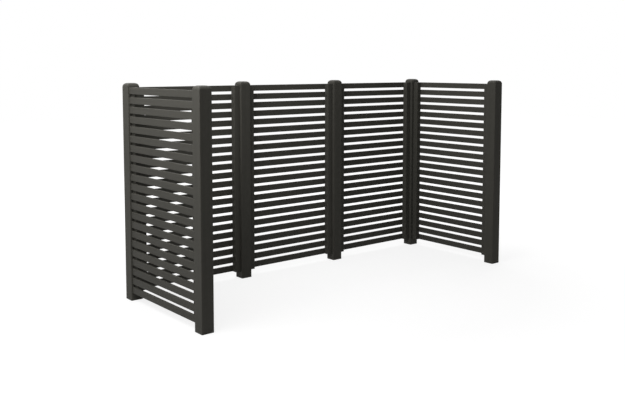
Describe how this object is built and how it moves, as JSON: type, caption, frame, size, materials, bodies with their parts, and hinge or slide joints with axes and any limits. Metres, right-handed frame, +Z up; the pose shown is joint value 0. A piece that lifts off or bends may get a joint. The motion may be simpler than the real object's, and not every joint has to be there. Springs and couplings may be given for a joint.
{
  "type": "wheelie bin screen",
  "caption": "U-shaped slatted timber screen with square posts and an open front, which hides wheelie bins that stand in a row inside it.",
  "frame": {"origin": "on the ground, at the centre of the rectangle that the posts stand in", "axes": "+Z up, +X along the back row of panels, +Y from the open front to the back"},
  "size_m": [2.305, 0.815, 1.2155],
  "materials": {
    "post_paint": "planed softwood in smooth matt dark grey paint",
    "slat_paint": "planed softwood in smooth matt dark grey paint",
    "stile_paint": "planed softwood in smooth matt dark grey paint",
    "screw_coating": "steel screw with a dark exterior coating"
  },
  "bodies": {
    "root": {"front_left_post": "post_paint", "back_left_corner_post": "post_paint", "back_left_middle_post": "post_paint", "back_right_middle_post": "post_paint", "back_right_corner_post": "post_paint", "front_right_post": "post_paint", "left_slats": "slat_paint", "left_stile": "stile_paint", "back_left_slats": "slat_paint", "back_left_stile": "stile_paint", "back_middle_slats": "slat_paint", "back_middle_stile": "stile_paint", "back_right_slats": "slat_paint", "back_right_stile": "stile_paint", "right_slats": "slat_paint", "right_stile": "stile_paint", "left_screw_first_low": "screw_coating", "left_screw_first_middle": "screw_coating", "left_screw_first_high": "screw_coating", "left_screw_second_low": "screw_coating", "left_screw_second_middle": "screw_coating", "left_screw_second_high": "screw_coating", "back_left_screw_first_low": "screw_coating", "back_left_screw_first_middle": "screw_coating", "back_left_screw_first_high": "screw_coating", "back_left_screw_second_low": "screw_coating", "back_left_screw_second_middle": "screw_coating", "back_left_screw_second_high": "screw_coating", "back_middle_screw_first_low": "screw_coating", "back_middle_screw_first_middle": "screw_coating", "back_middle_screw_first_high": "screw_coating", "back_middle_screw_second_low": "screw_coating", "back_middle_screw_second_middle": "screw_coating", "back_middle_screw_second_high": "screw_coating", "back_right_screw_first_low": "screw_coating", "back_right_screw_first_middle": "screw_coating", "back_right_screw_first_high": "screw_coating", "back_right_screw_second_low": "screw_coating", "back_right_screw_second_middle": "screw_coating", "back_right_screw_second_high": "screw_coating", "right_screw_first_low": "screw_coating", "right_screw_first_middle": "screw_coating", "right_screw_first_high": "screw_coating", "right_screw_second_low": "screw_coating", "right_screw_second_middle": "screw_coating", "right_screw_second_high": "screw_coating"}
  },
  "joints": []
}
